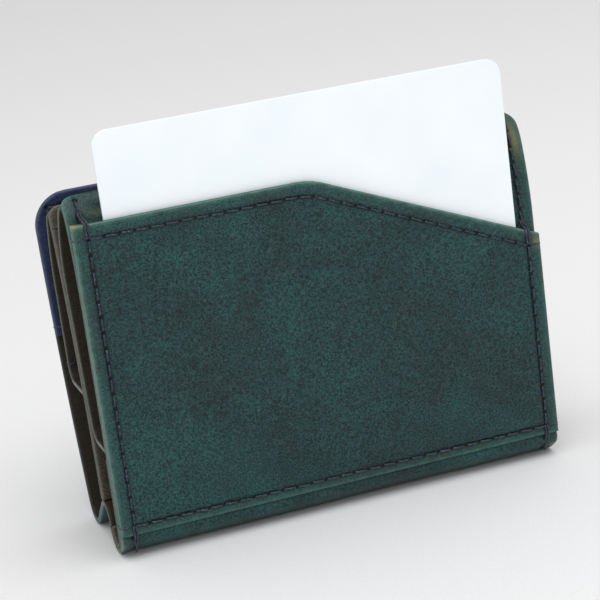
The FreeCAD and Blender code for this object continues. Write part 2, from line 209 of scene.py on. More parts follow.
def shade(red, green, blue):
    """Linear colour from display values of 0 to 255."""
    value = np.array([red, green, blue]) / 255
    linear = np.where(value <= 0.04045, value / 12.92, ((value + 0.055) / 1.055) ** 2.4)
    return (*linear.tolist(), 1.0)


class Nodes:
    """Short way to build a material: each call adds one node, sets its inputs and returns it."""

    def __init__(self, name):
        self.material = bpy.data.materials.new(name)
        self.material.use_nodes = True
        self.tree = self.material.node_tree
        self.shader = self.tree.nodes["Principled BSDF"]

    def add(self, kind, inputs=(), **settings):
        node = self.tree.nodes.new("ShaderNode" + kind)
        for key, value in settings.items():
            setattr(node, key, value)
        for socket, value in dict(inputs).items():
            self.feed(node.inputs[socket], value)
        return node

    def feed(self, socket, value):
        if isinstance(value, bpy.types.NodeSocket):
            self.tree.links.new(value, socket)
        else:
            socket.default_value = value

    def read(self, attribute, output="Fac"):
        return self.add("Attribute", attribute_name=attribute).outputs[output]

    def noise(self, place, scale, detail=4.0, roughness=0.55, distortion=0.0):
        node = self.add("TexNoise", {"Vector": place, "Scale": scale, "Detail": detail,
                                     "Roughness": roughness, "Distortion": distortion})
        return node.outputs["Fac"]

    def math(self, operation, *values):
        return self.add("Math", enumerate(values), operation=operation).outputs[0]

    def ramp(self, value, stops):
        """Smooth steps between (position, colour) pairs."""
        node = self.add("ValToRGB", {"Fac": value})
        elements = node.color_ramp.elements
        for (position, colour), element in zip(stops, list(elements)):
            element.position, element.color = position, colour
        for position, colour in stops[len(elements):]:
            elements.new(position).color = colour
        return node.outputs["Color"]

    def map(self, value, low, high, new_low=0.0, new_high=1.0):
        node = self.add("MapRange", {"Value": value, "From Min": low, "From Max": high,
                                     "To Min": new_low, "To Max": new_high})
        return node.outputs["Result"]

    def mix(self, share, first, second, blend="MIX"):
        node = self.add("Mix", data_type="RGBA", blend_type=blend)
        self.feed(node.inputs["Factor"], share)
        colours = [socket for socket in node.inputs if socket.type == "RGBA"]
        self.feed(colours[0], first)
        self.feed(colours[1], second)
        return next(socket for socket in node.outputs if socket.type == "RGBA")

    def surface(self, colour, roughness, relief=None, depth=0.0, strength=1.0):
        """Colour and roughness of the shader, and the relief, in metres of depth, that it shows."""
        self.feed(self.shader.inputs["Base Color"], colour)
        self.feed(self.shader.inputs["Roughness"], roughness)
        if relief is not None:
            node = self.add("Bump", {"Height": relief, "Distance": depth, "Strength": strength})
            self.feed(self.shader.inputs["Normal"], node.outputs["Normal"])
        return self.material


PITCH = 3.1  # length of one stitch
HOLE = 0.30  # radius of a needle hole, and where its shade fades out
HOLE_SHADE = 0.50


def leather(name, dark, mid, patch, flesh, edge, shine, roughness=0.40, speckle=1.0):
    """Dyed leather. The dye pools in cloudy patches and stands out as fine specks, the pores are
    darker, and the grain is lighter towards its border, from rubbing and from a painted highlight
    where the edge rolls over; the cut edge shows the layers, and the flesh side is fibrous and dull.
    The needle holes are painted near black, as painted shade inside them."""
    n = Nodes(name)
    place = n.read("hide", "Vector")
    through = n.read("through")
    clouds = n.noise(place, 0.045, 3.0, 0.55, 0.7)
    mottle = n.noise(place, 0.26, 6.0, 0.65, 0.3)
    pores = n.add("TexVoronoi", {"Vector": place, "Scale": 1.7}, feature="DISTANCE_TO_EDGE")
    pores = pores.outputs["Distance"]
    specks = n.noise(place, 2.5, 2.0, 0.8)
    creases = n.noise(place, 0.16, 4.0, 0.55, 2.2)
    crease_lines = n.map(n.math("ABSOLUTE", n.math("SUBTRACT", creases, 0.5)), 0.0, 0.012, 1.0, 0.0)

    dye = n.ramp(clouds, [(0.34, dark), (0.50, mid), (0.66, patch)])
    dye = n.mix(n.map(mottle, 0.35, 0.7, 0.0, 0.35), dye, dark)
    dye = n.mix(1.0, dye, n.map(specks, 0.38, 0.64, 1 - 0.76 * speckle, 1 + 1.3 * speckle), "MULTIPLY")
    dye = n.mix(n.map(pores, 0.0, 0.08, 0.30, 0.0), dye, shade(8, 18, 20))
    dye = n.mix(n.math("MULTIPLY", crease_lines, 0.30), dye, shade(70, 108, 100))

    fibres = n.noise(n.add("Mapping", {"Vector": place, "Scale": (0.5, 2.4, 1.0)}).outputs[0],
                     1.6, 5.0, 0.7, 0.8)
    matted = tuple(0.35 * value for value in flesh[:3]) + (1.0,)
    flesh_colour = n.ramp(fibres, [(0.3, matted), (0.7, flesh)])
    edge_grain = n.noise(place, 1.8, 4.0, 0.65)
    layer_line = n.math("ABSOLUTE", n.math("SUBTRACT", through, 0.52))
    edge_colour = n.mix(n.map(edge_grain, 0.35, 0.65, 0.0, 0.7), edge, dark)
    edge_colour = n.mix(n.map(layer_line, 0.0, 0.05, 0.75, 0.0), edge_colour, shade(22, 24, 26))

    patchiness = n.noise(place, 0.5, 3.0)
    # lighter towards the border: rubbed leather, and a painted highlight where the edge rolls over
    border = n.math("ADD", n.map(n.read("border"), 0.4, 2.6, 0.20, 0.0),
                    n.map(n.read("border"), 0.3, 0.9, 0.34, 0.0))
    border_rub_and_highlight = n.math("MULTIPLY", border, n.map(patchiness, 0.35, 0.65, 0.45, 1.0))
    # pale line along the grain's corner of a cut edge: rubbed leather, and a painted highlight on the
    # rounded rim
    rubbed_and_highlit = n.math("MULTIPLY", n.map(through, 0.012, 0.07), n.map(patchiness, 0.3, 0.65, 0.35, 1.0))
    is_edge = n.map(through, 0.14, 0.26)
    is_flesh = n.map(through, 0.86, 0.97)
    colour = n.mix(border_rub_and_highlight, dye, shine)
    colour = n.mix(rubbed_and_highlit, colour, shine)
    colour = n.mix(is_edge, colour, edge_colour)
    colour = n.mix(is_flesh, colour, flesh_colour)
    # pale spots: rubbed leather, and on the wall's curl and right edge a painted highlight
    colour = n.mix(n.read("wear_and_highlight"), colour, shade(138, 132, 92))
    along = n.read("along")
    off = n.math("MULTIPLY", n.math("SUBTRACT", n.math("FRACT", n.math("ADD", along, 0.5)), 0.5), PITCH)
    across = n.read("across")
    squares = n.math("ADD", n.math("MULTIPLY", off, off), n.math("MULTIPLY", across, across))
    hole = n.map(n.math("SQRT", squares), HOLE, HOLE_SHADE, 1.0, 0.0)
    colour = n.mix(n.map(across, 0.2, 0.8, 0.40, 0.0), colour, shade(18, 26, 34))
    # needle holes painted near black: painted shade inside each hole
    colour = n.mix(hole, colour, shade(2, 3, 5))

    gloss = n.map(mottle, 0.3, 0.7, roughness - 0.05, roughness + 0.08)
    gloss = n.math("ADD", gloss, n.math("MULTIPLY", is_flesh, 0.45))
    n.shader.inputs["Specular IOR Level"].default_value = 0.16
    n.shader.inputs["Coat Weight"].default_value = 0.25
    n.shader.inputs["Coat Roughness"].default_value = 0.24

    relief = n.math("ADD", n.map(pores, 0.0, 0.14), n.math("MULTIPLY", specks, 1.2))
    relief = n.math("SUBTRACT", relief, n.math("MULTIPLY", crease_lines, 0.6))
    relief = n.math("ADD", relief, n.math("MULTIPLY", n.math("MULTIPLY", fibres, is_flesh), 3.0))
    relief = n.math("SUBTRACT", relief, n.math("MULTIPLY", hole, 4.0))
    return n.surface(colour, gloss, relief, 0.05 * MM, 0.75)


GREEN_HIDE = dict(dark=shade(19, 40, 41), mid=shade(19, 50, 50), patch=shade(21, 62, 60),
                  flesh=shade(60, 54, 47), shine=shade(82, 124, 112))
GREEN = leather("green_leather", edge=shade(76, 80, 66), **GREEN_HIDE)

WALL_LOW, WALL_HIGH = corners_of("back_wall")
HALF_WIDTH = (WALL_HIGH[0] - WALL_LOW[0]) / 2
LEATHER = 1.2  # thickness of the strip
WALL_LEAN = 14.0  # the wall leans back near its top, in degrees
WALL_BEND = 70.0
CURL = 38.0  # and curls back further along its top edge
CURL_BEND = 11.0
REAR_FOLD = 4.6  # radii of the three bends of the W
CREST = 2.9
FRONT_FOLD = 4.8
CREST_RISE = 0.2  # straight piece before the crest


def cut_outline(x, s, length, corner, near=1.0, corner_end="far"):
    """Distance to the cut edges of a strip of the full width whose corners at one end are round.

    Inside a corner's square the distance is the radius less the distance to the corner's centre.
    near is the share of RIM that the rim of the near end takes."""
    side = HALF_WIDTH - np.abs(x)
    to_corner_end = length - s if corner_end == "far" else s
    in_corner = (side < corner) & (to_corner_end < corner)
    arc = corner - np.hypot(corner - side, corner - to_corner_end)
    ends = (length - s, s / near) if corner_end == "far" else (s / near, length - s)
    level = np.minimum(side, ends[0])
    return np.maximum(np.minimum(np.where(in_corner, arc, level), ends[1]), 0.0)


def corner_drop(x, corner):
    """How far a round corner lowers the end of a strip at each place across it."""
    into = np.clip(corner - (HALF_WIDTH - np.abs(x)), 0, corner)
    return corner - np.sqrt(corner ** 2 - into ** 2)


def wall_corner(x):
    """Radius of the round corners at a wall's top: tight at the left end, wide at the right."""
    return np.where(x < 0, 2.4, 4.6)


def eased(share):
    """Smooth step from 0 to 1: 3 share^2 - 2 share^3."""
    return share * share * (3 - 2 * share)


def bell(*spreads):
    """Bell curve: exp of minus the sum of (distance / width)^2 over the pairs given."""
    return np.exp(-sum((distance / width) ** 2 for distance, width in spreads))


def slow_waves(x, s, gap, fade, *waves):
    """Unevenness of a hand-worked sheet: the sum of height sin(x / a + b) sin(s / c + d).

    Each wave is (height, (a, b), (c, d)). All fade to nothing within a distance of the cut edges."""
    total = sum(height * np.sin(x / a + b) * np.sin(s / c + d) for height, (a, b), (c, d) in waves)
    return total * np.clip(gap / fade, 0, 1)


SIDE_SEAM_IN = 2.9  # side seams, in from the edge
GROOVE, GROOVE_WIDTH = 0.16, 0.75  # channel pressed along a seam
DIMPLE, DIMPLE_WIDTH = 0.36, 0.42  # and the dimple at each needle hole
THREAD = 0.22  # radius of the waxed thread
STITCH_RISE, STITCH_SINK = 0.50, 0.42  # a stitch's arch, and how far its ends are sunk in the leather
SLANT = 0.10  # a stitch goes from this far on one side of the seam to this far on the other
dice = np.random.default_rng(11)


def seam(points):
    """Even needle holes along a line of (across, along) points: about one for each stitch length."""
    points = np.asarray(points, float)
    lengths = np.concatenate([[0], np.cumsum(np.hypot(*np.diff(points, axis=0).T))])
    count = max(1, round(lengths[-1] / PITCH))
    stations = np.linspace(0, lengths[-1], count + 1)
    return np.stack([np.interp(stations, lengths, points[:, i]) for i in (0, 1)], -1)


def seam_marks(x, s, seams):
    """Leather pressed down along sewn seams: a shallow channel along the line and a dimple at each hole.

    Both are bell curves of the distance, to the line and to the hole. The second result is the place
    along the nearest seam, in stitches, and the distance to that seam."""
    along, nearest = (np.full(x.shape, mark) for mark in UNSEWN)
    for line in seams:
        start, end = line[:-1], line[1:]
        for number, ((x0, s0), (dx, ds)) in enumerate(zip(start, end - start)):
            share = np.clip(((x - x0) * dx + (s - s0) * ds) / (dx * dx + ds * ds), 0, 1)
            away = np.hypot(x - x0 - share * dx, s - s0 - share * ds)
            along = np.where(away < nearest, number + share, along)
            nearest = np.minimum(away, nearest)
    to_hole = np.hypot(nearest, PITCH * (along - np.round(along)))
    pressed = GROOVE * bell((nearest, GROOVE_WIDTH)) + DIMPLE * bell((to_hole, DIMPLE_WIDTH))
    return -pressed, (along, nearest)


def closed_tubes(rings, tips):
    """Points, quads and end triangles of closed tubes.

    rings is an array of (tubes, rings, sides, 3), and tips, (tubes, 2, 3), are the points that close
    the ends: each ring is joined to the next, and each end ring to its tip."""
    count, length, sides = rings.shape[:3]
    index = np.arange(count * length * sides).reshape(count, length, sides)
    beside = np.roll(index, -1, axis=2)
    quads = np.stack([index[:, :-1], beside[:, :-1], beside[:, 1:], index[:, 1:]], -1).reshape(-1, 4)
    tip = np.broadcast_to(index.size + np.arange(count * 2).reshape(count, 2, 1), (count, 2, sides))
    first = np.stack([tip[:, 0], beside[:, 0], index[:, 0]], -1)
    last = np.stack([tip[:, 1], index[:, -1], beside[:, -1]], -1)
    points = np.concatenate([rings.reshape(-1, 3), tips.reshape(-1, 3)])
    return points, quads, np.concatenate([first, last]).reshape(-1, 3)


def twisted_thread(name, centre, lift, radius=THREAD):
    """Two-ply thread along each row of centre points.

    Each ring has eight points, at the radius times 1 + 0.16 cos(2 angle - turn), so the two plies
    wind round the thread; lift is the direction away from the leather."""
    sides = 8
    count, rings = centre.shape[:2]
    along = np.gradient(centre, axis=1)
    along /= np.linalg.norm(along, axis=-1, keepdims=True)
    across = np.cross(along, lift)
    across /= np.linalg.norm(across, axis=-1, keepdims=True)
    upward = np.cross(across, along)
    angle = np.arange(sides) * 2 * math.pi / sides
    turn = np.arange(rings) * 0.85
    swell = 1 + 0.16 * np.cos(2 * angle[None, :] - turn[:, None])
    swell = (radius * swell)[None, :, :, None]
    ring = np.cos(angle)[:, None] * across[:, :, None] + np.sin(angle)[:, None] * upward[:, :, None]
    strand = np.concatenate([np.repeat(np.arange(count), rings * sides), np.repeat(np.arange(count), 2)])
    tubes = closed_tubes(centre[:, :, None] + swell * ring, centre[:, [0, -1]])
    piece = add_mesh(name, *tubes, strand=strand * 0.37)
    piece.data.materials.append(WAXED_THREAD)
    return piece


def stitch_rows(line, at, inward, height=0.0):
    """Centre points and lifts of the stitches between needle holes on a sheet.

    A stitch arches from hole to hole: over the grain it is rise (1 - (2t - 1)^4) - sink high, and it
    crosses the seam line from one side to the other, because the holes are cut at a slant. Each is
    a little out of line and out of level, as hand stitches are."""
    rings = 9
    t = np.linspace(0.13, 0.87, rings)[None, :]
    start, end = line[:-1, None, :], line[1:, None, :]
    way = end - start
    length = np.linalg.norm(way, axis=-1, keepdims=True)
    sideways = np.stack([-way[..., 1], way[..., 0]], -1) / length
    jitter = dice.normal(0, 0.035, (len(line) - 1, 1, 1))
    flat = start + way * t[..., None] + sideways * (SLANT * (1 - 2 * t[..., None]) + jitter)
    uneven = dice.normal(0, 0.02, (len(line) - 1, 1))
    arch = height + STITCH_RISE * (1 - (2 * t - 1) ** 4) - STITCH_SINK + uneven
    low_y, low_z = at(flat[..., 1], -inward * arch)
    high_y, high_z = at(flat[..., 1], -inward * (arch + 1.0))
    centre = np.stack([flat[..., 0], low_y, low_z], -1)
    lift = np.stack([np.zeros_like(low_y), high_y - low_y, high_z - low_z], -1)
    return centre, lift


def edge_wraps(at, inward, places, stack):
    """Thread that turns round a side edge of a stack of leather, from a face hole to the back.

    places holds (side, distance) pairs. Across the edge it is half a squared-off ellipse: with the
    angle from 0 to 180 degrees, the way out is sin^0.4 and the depth is cos^0.4 with cos's sign."""
    rings = 13
    angle = np.linspace(0, math.pi, rings)[None, :]
    side, distance = (np.array(values, float)[:, None] for values in zip(*places))
    out = np.sin(angle).clip(0) ** 0.4
    turned = np.sign(np.cos(angle)) * np.abs(np.cos(angle)) ** 0.4
    x = side * (HALF_WIDTH - SIDE_SEAM_IN + (SIDE_SEAM_IN - 0.06) * out)
    sink = 0.45 * np.clip(1 - np.minimum(angle, math.pi - angle) / 0.3, 0, 1)
    depth = stack / 2 - (stack / 2 + 0.04 - sink) * turned
    y, z = at(distance + 0.0 * angle, inward * depth)
    centre = np.stack([x, y, z], -1)
    middle_y, middle_z = at(distance + 0.0 * angle, inward * stack / 2)
    inside = np.stack([side * (HALF_WIDTH - SIDE_SEAM_IN / 2) + 0 * angle, middle_y, middle_z], -1)
    return centre, centre - inside


def join(*strands):
    """Several sets of strands as one, with the same number of rings by interpolation along each."""
    rings = max(centre.shape[1] for centre, _ in strands)
    share = np.linspace(0, 1, rings)
    result = []
    for part in (0, 1):
        even = []
        for strand in strands:
            values = strand[part]
            t = share * (values.shape[1] - 1)
            i = np.minimum(t.astype(int), values.shape[1] - 2)
            f = (t - i)[None, :, None]
            even.append(values[:, i] * (1 - f) + values[:, i + 1] * f)
        result.append(np.concatenate(even))
    return result


def waxed_thread():
    """Slate-navy waxed thread: the plies differ a little in colour, the fibres carry pale painted
    highlight flecks, and the wax makes it shine softly.
    """
    n = Nodes("waxed_thread")
    place = n.add("TexCoord").outputs["Object"]
    fibre = n.noise(place, 2600.0, 3.0, 0.6)
    tone = n.noise(n.add("CombineXYZ", {"X": n.read("strand")}).outputs[0], 3.0, 1.0)
    # the pale end of the ramp paints highlight flecks on the fibres
    colour = n.ramp(fibre, [(0.36, shade(10, 16, 22)), (0.54, shade(30, 40, 52)),
                            (0.70, shade(96, 106, 124))])
    colour = n.mix(n.map(tone, 0.35, 0.65, 0.0, 0.55), colour, shade(28, 42, 52))
    return n.surface(colour, n.map(fibre, 0.3, 0.7, 0.42, 0.62), fibre, 0.03 * MM, 0.8)


WAXED_THREAD = waxed_thread()

SEAM_X = HALF_WIDTH - SIDE_SEAM_IN
POCKET_LOW, POCKET_HIGH = corners_of("back_pocket")
POCKET_RIGHT_TOP = 49.3  # the pocket's edge is this high at its right end
lean = math.radians(WALL_LEAN)
tip_lean = lean + math.radians(CURL)
curl_rise = CURL_BEND * (math.sin(tip_lean) - math.sin(lean))
curl_back = CURL_BEND * (math.cos(lean) - math.cos(tip_lean))
straight_top = WALL_HIGH[2] - WALL_BEND * math.sin(lean) - curl_rise
wall_tip_y = WALL_LOW[1] + WALL_BEND * (1 - math.cos(lean)) + curl_back
bent = CURL_BEND * math.radians(CURL) + WALL_BEND * lean
rear_track = track(
    wall_tip_y, WALL_HIGH[2], -90.0 - WALL_LEAN - CURL,
    [bend(CURL_BEND, CURL), bend(WALL_BEND, WALL_LEAN), run(straight_top - REAR_FOLD),
     bend(REAR_FOLD, 180.0), run(CREST_RISE), bend(CREST, -90.0)],
)
wall_run = bent + straight_top - REAR_FOLD


def down_wall(z):
    """Distance along the rear track at which the straight part of the wall is z high."""
    return bent + straight_top - z


columns = spread(-HALF_WIDTH, HALF_WIDTH, edge_lines(), edge_lines(), 1.6)[:, 0]


def strip_grid(near_end, far_end, coarse, near=edge_lines(), far=edge_lines()):
    """Grids of places across and distances along, between the outlines of a strip's two ends."""
    ends = (np.broadcast_to(end, columns.shape) for end in (near_end, far_end))
    s = spread(*ends, near, far, coarse)
    return np.broadcast_to(columns, s.shape), s


def side_seam(side, start, end):
    """Seam along the left (-1) or right (1) side of a piece."""
    return seam([(side * SEAM_X, start), (side * SEAM_X, end)])


def level_seam(at):
    """Seam straight across a piece."""
    return seam([(-SEAM_X, at), (SEAM_X, at)])


WALL_RISE = 1.0  # the wall's top edge is this much higher at its right end
near_end = corner_drop(columns, wall_corner(columns)) - WALL_RISE * (columns / HALF_WIDTH + 1) / 2
x, s = strip_grid(near_end, rear_track.length, 0.7, far=edge_lines(SQUARE, 1.0))
wall_drop = WALL_RISE * (x / HALF_WIDTH + 1) / 2
gap = cut_outline(x, s + wall_drop, rear_track.length + wall_drop, wall_corner(x), near=SQUARE,
                  corner_end="near")      # square at the wall's top, full rim on the crest
TOP_HOLE = 1.3  # first needle hole of the wall's seams, down from the top edge
LEFT_SEAM_END = 2.6  # the left wall seam ends this far below the pocket's edge
RIGHT_SEAM_END = 2.0  # and the right one this far above the lowest point of that edge
FOLD_SEAM_END = 0.9  # the fold's seams end this far above the table
SWELL_HEIGHT = 4.4  # the wall is pushed out at this height, below the pocket panel
SWELL_WIDTH = 2.1
SWELL = 1.7
STITCH_SWELL = 1.6  # how far the fold's stitches follow it
left_wall_end = down_wall(POCKET_HIGH[2] - LEFT_SEAM_END)
right_wall_end = down_wall(POCKET_RIGHT_TOP + RIGHT_SEAM_END)
fold_seam = down_wall(POCKET_LOW[2]), down_wall(FOLD_SEAM_END)
rear_seams = {
    "left_wall_thread": side_seam(-1, TOP_HOLE, left_wall_end),
    "right_wall_thread": side_seam(1, TOP_HOLE, right_wall_end),
    "left_fold_thread": side_seam(-1, *fold_seam),
    "right_fold_thread": side_seam(1, *fold_seam),
}
relief, sewn = seam_marks(x, s, rear_seams.values())
slow_wave = slow_waves(x, s, gap, 4, (0.10, (9.0, 0.4), (6.5, 0.0)))
slow_wave += SWELL * bell((s - down_wall(SWELL_HEIGHT), SWELL_WIDTH))
wear_and_highlight = 0.5 * bell((x - 46.8, 1.0), (s - 6.5, 3.4))  # rubbed right edge, with a painted highlight where the wall curls back
wear_and_highlight += 0.3 * bell((x + 41.5, 2.0), (s - 4.8, 0.7))  # and crest of the curl: a painted highlight where the curl faces up, with some rubbing
back_strip = leather_sheet("back_strip", x, s, gap, LEATHER, rear_track, relief=relief + slow_wave,
                           sewn=sewn, wear_and_highlight=wear_and_highlight)
back_strip.data.materials.append(GREEN)
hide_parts("back_wall", "spine_fold")
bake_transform(back_strip)

for node, line in rear_seams.items():
    stitch_middle = (line[:-1, 1:] + line[1:, 1:]) / 2
    proud = STITCH_SWELL * bell((stitch_middle - down_wall(SWELL_HEIGHT), SWELL_WIDTH))
    stitches = stitch_rows(line, rear_track, 1, height=proud)
    thread = twisted_thread(node.replace("_thread", "_stitches"), *stitches)
    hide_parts(node)
    if "fold" in node:
        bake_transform(thread)
    else:
        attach(thread, "back")

# ============================================================
# OUTER STRIP, FRONT STRETCH
# The same strip from the crest of the W down, round the front fold and up as the bowed cover. Its
# grain is outside; three seams join the navy lining to its upper part.
COVER_CORNER = 7.5
COVER_LEAN = 16.0  # the cover leans out from upright at its foot, in degrees
COVER_BOW = 292.0  # and bows back as an arc of this radius and angle
COVER_ARC = 13.0
LINING_ARC = 6.0  # the lining covers this much of the arc, down from the top
HINGE_SLIT = 0.4  # straight piece between the fold and the cover
FOOT_SEAM_UP = 2.0  # seams of the lining, up from its foot and down from the cover's top
TOP_SEAM_DOWN = 3.0
CREST_DEPTH = 14.4  # of the crest's middle and the front fold's middle, from the pocket's face
FRONT_FOLD_DEPTH = 26.4
FACE_Y = POCKET_LOW[1]
span = FRONT_FOLD_DEPTH - CREST_DEPTH
droop = math.degrees(math.asin((CREST + FRONT_FOLD) / span))
front_track = track(
    FACE_Y + CREST_DEPTH, FRONT_FOLD + CREST, 0.0,
    [bend(CREST, -droop), run(span * math.cos(math.radians(droop))),
     bend(FRONT_FOLD, droop + 90.0 - COVER_LEAN), run(HINGE_SLIT), bend(COVER_BOW, COVER_ARC)],
)
far_end = front_track.length - corner_drop(columns, COVER_CORNER)
x, s = strip_grid(0.0, far_end, 0.8, near=edge_lines(SQUARE, 1.0))
gap = cut_outline(x, s, front_track.length, COVER_CORNER, near=SQUARE)
lining_from = front_track.length - COVER_BOW * math.radians(LINING_ARC)
cover_seam_low, cover_seam_high = lining_from + FOOT_SEAM_UP, front_track.length - TOP_SEAM_DOWN
cover_seams = {
    "cover_top_thread": level_seam(cover_seam_high),
    "cover_lining_thread": level_seam(cover_seam_low),
    "left_cover_thread": side_seam(-1, cover_seam_low, cover_seam_high),
    "right_cover_thread": side_seam(1, cover_seam_low, cover_seam_high),
}
relief, sewn = seam_marks(x, s, cover_seams.values())
slow_wave = slow_waves(x, s, gap, 4, (0.12, (12.0, 0.0), (11.0, 1.0)))
cover_strip = leather_sheet("cover_strip", x, s, gap, LEATHER, front_track, relief=relief + slow_wave,
                            sewn=sewn)
COVER_GREEN = leather("cover_green_leather", edge=shade(52, 68, 76), **GREEN_HIDE)
cover_strip.data.materials.append(COVER_GREEN)
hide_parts("front_cover")
hinge_at = front_track.length - COVER_BOW * math.radians(COVER_ARC) - HINGE_SLIT
hinge_y, hinge_z = front_track(hinge_at, 0.0)
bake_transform(cover_strip)

LINING = 0.8  # thickness of the navy lining
for node, line in cover_seams.items():
    outside = stitch_rows(line, front_track, 1)
    inside = stitch_rows(line, front_track, -1, height=LEATHER + LINING)
    strands = [outside, inside]
    if node == "cover_lining_thread":
        ends = [(-1, cover_seam_low), (1, cover_seam_low)]
        strands.append(edge_wraps(front_track, 1, ends, LEATHER + LINING))
    thread = twisted_thread(node.replace("_thread", "_stitches"), *join(*strands))
    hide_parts(node)
    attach(thread, "cover")

# ============================================================
# NAVY LINING
# A smooth navy leather lining sewn inside the upper part of the cover.
lining_length = front_track.length - lining_from


def lining_track(distance, depth):
    """The cover's track, from the lining's foot up, on the cover's flesh side."""
    return front_track(lining_from + distance, LEATHER + LINING - depth)


far_end = lining_length - corner_drop(columns, COVER_CORNER)
x, s = strip_grid(0.0, far_end, 1.2)
gap = cut_outline(x, s, lining_length, COVER_CORNER)
lining_seams = [line - [0, lining_from] for line in cover_seams.values()]
relief, sewn = seam_marks(x, s, lining_seams)
navy_lining = leather_sheet("navy_lining", x, s, gap, LINING, lining_track, relief=relief, sewn=sewn)
NAVY = leather("navy_leather", dark=shade(22, 26, 46), mid=shade(28, 34, 60), patch=shade(34, 42, 74),
               flesh=shade(60, 56, 58), edge=shade(46, 52, 72), shine=shade(62, 72, 104), speckle=0.6)
navy_lining.data.materials.append(NAVY)
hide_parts("cover_lining")
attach(navy_lining, "cover")

# ============================================================
# POCKET PANEL
# The outer card pocket: one panel, level on the left and sloping on the right, sewn to the back
# wall along both sides and the base. A seam also runs below its top edge, as decoration.
PEAK_X = 0.3  # the level edge turns into the slope here, round an arc
PEAK_ROUND = 14.0
SKIN = 1.1  # the leather over the card's room, with the clearance behind it
FLOOR = 8.5  # height of the pocket's floor
FLOOR_EASE = 1.2  # the card's room begins this far below it, and is full 1 mm higher
BORDER = 3.9  # the room's side, in from the panel's, at the middle of its fade
SIDE_EASE = 2.0
CLEARANCE = 0.05  # between the panel and the wall
TOP_SEAM = 3.0  # seams, in from the top edge and up from the base
BASE_SEAM = 2.0
slope = (POCKET_HIGH[2] - POCKET_RIGHT_TOP) / (HALF_WIDTH - PEAK_X)
slope_angle = math.atan(slope)


def pocket_top(across, inset=0.0):
    """Height of the pocket's top edge, or of a line at an inset below it.

    Left of the peak it is level, right of it it falls evenly, and an arc joins the two. The arc's
    height is that of a circle of the peak's radius, which touches the level line."""
    radius = PEAK_ROUND - inset
    reach = PEAK_ROUND * math.tan(slope_angle / 2)
    level = POCKET_HIGH[2] - inset
    from_touch = across - (PEAK_X - reach)
    arc_length = radius * math.sin(slope_angle)
    turned = np.clip(from_touch, 0, arc_length)
    arc = level - (radius - np.sqrt(radius ** 2 - turned ** 2))
    return arc - np.clip(from_touch - arc_length, 0, None) * slope


def panel_track(distance, depth):
    """The pocket's flat face: distance is the height, depth goes in from the face."""
    return FACE_Y + depth + 0.0 * distance, distance + 0.0 * depth


x, s = strip_grid(POCKET_LOW[2], pocket_top(columns), 0.8)
down = np.where(x > PEAK_X, math.cos(slope_angle), 1.0) * (pocket_top(x) - s)
gap = np.maximum(np.minimum(np.minimum(HALF_WIDTH - np.abs(x), s - POCKET_LOW[2]), down), 0.0)
across_top = np.linspace(-SEAM_X, SEAM_X, 400)
base_height = POCKET_LOW[2] + BASE_SEAM
left_head = POCKET_HIGH[2] - TOP_SEAM
right_head = float(pocket_top(SEAM_X, TOP_SEAM))
pocket_seams = {
    "pocket_top_thread": seam(np.stack([across_top, pocket_top(across_top, TOP_SEAM)], -1)),
    "pocket_base_thread": level_seam(base_height),
    "left_side_thread": side_seam(-1, base_height, left_head),
    "right_side_thread": side_seam(1, base_height, right_head),
}
relief, sewn = seam_marks(x, s, pocket_seams.values())
between_sides = np.clip((HALF_WIDTH - BORDER - np.abs(x)) / SIDE_EASE + 0.5, 0, 1)
room = eased(between_sides * np.clip(s - FLOOR + FLOOR_EASE, 0, 1))
pocket_depth = POCKET_HIGH[1] - POCKET_LOW[1]
thickness = pocket_depth - CLEARANCE - (pocket_depth - SKIN) * room
CARD_SWELL = 0.22  # the card in the pocket pushes the panel out, most at this height
CARD_SWELL_HEIGHT = 42.0
CARD_SWELL_WIDTH = 26.0
swell = CARD_SWELL * room * bell((s - CARD_SWELL_HEIGHT, CARD_SWELL_WIDTH))
slow_wave = slow_waves(x, s, gap, 5, (0.07, (7.3, 1.1), (8.9, 0.3)), (0.05, (3.9, 0.0), (5.1, 0.0)))
wear_and_highlight = bell((x + HALF_WIDTH, 1.2), (s - POCKET_HIGH[2], 0.6))  # left corner
wear_and_highlight += 0.5 * bell((x - HALF_WIDTH + 0.9, 0.9), (s - POCKET_RIGHT_TOP + 1.4, 1.3))  # right corner
pocket_panel = leather_sheet("pocket_panel", x, s, gap, thickness, panel_track,
                             relief=relief + swell + slow_wave, sewn=sewn, wear_and_highlight=wear_and_highlight)
pocket_panel.data.materials.append(GREEN)
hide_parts("back_pocket")
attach(pocket_panel, "back")

wraps = {
    "pocket_top_thread": [(-1, left_head), (1, right_head)],
    "pocket_base_thread": [(-1, base_height), (1, base_height)],
}
PANEL_AND_WALL = 3.6  # thickness of both at the side edges
for node, line in pocket_seams.items():
    strands = [stitch_rows(line, panel_track, 1)]
    if node in wraps:
        strands.append(edge_wraps(panel_track, 1, wraps[node], PANEL_AND_WALL))
    thread = twisted_thread(node.replace("_thread", "_stitches"), *join(*strands))
    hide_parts(node)
    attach(thread, "back")


TIE_RADIUS = 0.26
TIE_ASIDE = 0.27  # the two strands of a closing stitch, to either side of its middle
TIE_PROUD = 0.16  # height of a strand's middle over the panel's face


